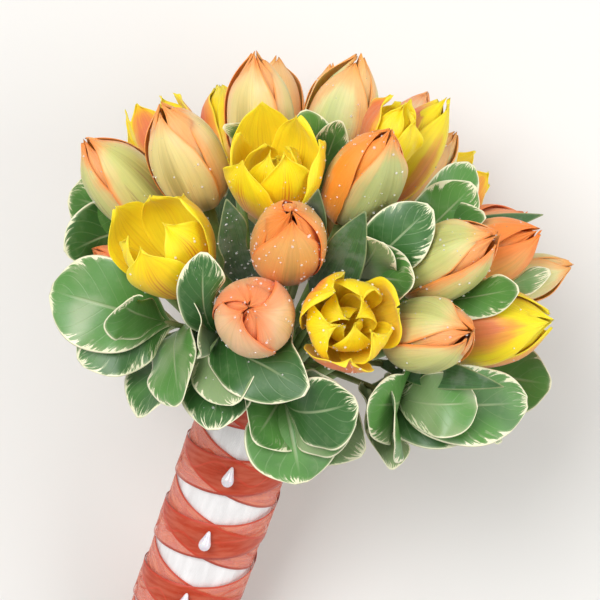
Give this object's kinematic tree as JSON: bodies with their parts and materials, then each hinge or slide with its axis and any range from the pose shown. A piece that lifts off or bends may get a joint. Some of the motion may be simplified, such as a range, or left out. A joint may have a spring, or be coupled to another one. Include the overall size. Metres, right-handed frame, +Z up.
{
  "type": "bunch of tulips",
  "caption": "Hand-tied bunch of tulips with leafy variegated sprays, its stems wrapped in satin and criss-crossed sheer ribbon with pearl-headed pins, lying on its side.",
  "frame": {"origin": "on the table, under the middle of the bunch's bounding box", "axes": "+Z up off the table, +Y from the cut stems towards the flowers, +X to the right of someone at the cut ends facing the flowers"},
  "size_m": [0.2444, 0.3458, 0.2391],
  "materials": {
    "petals_apricot": "soft satin",
    "petals_green": "soft satin",
    "petals_peach": "soft satin",
    "petals_flame": "soft satin",
    "petals_olive": "soft satin",
    "petals_yellow": "soft satin",
    "petals_orange": "soft satin",
    "petals_salmon": "soft satin",
    "leaf_variegated": "waxy, cream at the margins",
    "leaf_tulip": "waxy bloom",
    "stem": "smooth",
    "tape": "crepe",
    "satin": "satin",
    "organza": "sheer",
    "pearl": "pearl"
  },
  "bodies": {
    "root": {"bloom_apricot_a": "petals_apricot", "bloom_green_a": "petals_green", "bloom_peach_a": "petals_peach", "bloom_flame_a": "petals_flame", "bloom_olive_a": "petals_olive", "bloom_apricot_b": "petals_apricot", "bloom_yellow_a": "petals_yellow", "bloom_salmon_a": "petals_salmon", "bloom_yellow_b": "petals_yellow", "bloom_orange_a": "petals_orange", "bloom_orange_b": "petals_orange", "bloom_yellow_c": "petals_yellow", "bloom_green_b": "petals_green", "bloom_orange_c": "petals_orange", "bloom_flame_b": "petals_flame", "bloom_peach_b": "petals_peach", "bloom_flame_c": "petals_flame", "bloom_green_c": "petals_green", "bloom_flame_d": "petals_flame", "bloom_orange_d": "petals_orange", "bloom_salmon_b": "petals_salmon", "bloom_olive_b": "petals_olive", "bloom_green_d": "petals_green", "bloom_flame_e": "petals_flame", "bloom_olive_c": "petals_olive", "bloom_green_e": "petals_green", "bloom_peach_c": "petals_peach", "bloom_olive_d": "petals_olive", "bloom_apricot_c": "petals_apricot", "bloom_orange_e": "petals_orange", "bloom_apricot_d": "petals_apricot", "bloom_yellow_d": "petals_yellow", "bloom_orange_f": "petals_orange", "bloom_peach_d": "petals_peach", "tulip_leaf_front_left": "leaf_tulip", "tulip_leaf_front": "leaf_tulip", "tulip_leaf_front_right": "leaf_tulip", "tulip_leaf_low_right": "leaf_tulip", "tulip_leaf_high_right": "leaf_tulip", "spray_left": "leaf_variegated", "spray_upper_left": "leaf_variegated", "spray_centre": "leaf_variegated", "spray_bottom": "leaf_variegated", "spray_bottom_right": "leaf_variegated", "spray_right": "leaf_variegated", "spray_front_right": "leaf_variegated", "spray_upper_right": "leaf_variegated", "spray_top": "leaf_variegated", "spray_side_right": "leaf_variegated", "spray_under_left": "leaf_variegated", "spray_under_right": "leaf_variegated", "stem_bundle": "stem", "binding_tape": "tape", "satin_wrap": "satin", "ribbon_under": "organza", "ribbon_over": "organza", "pearl_pin_1": "pearl", "pearl_pin_2": "pearl", "pearl_pin_3": "pearl", "pearl_pin_4": "pearl"}
  },
  "joints": []
}
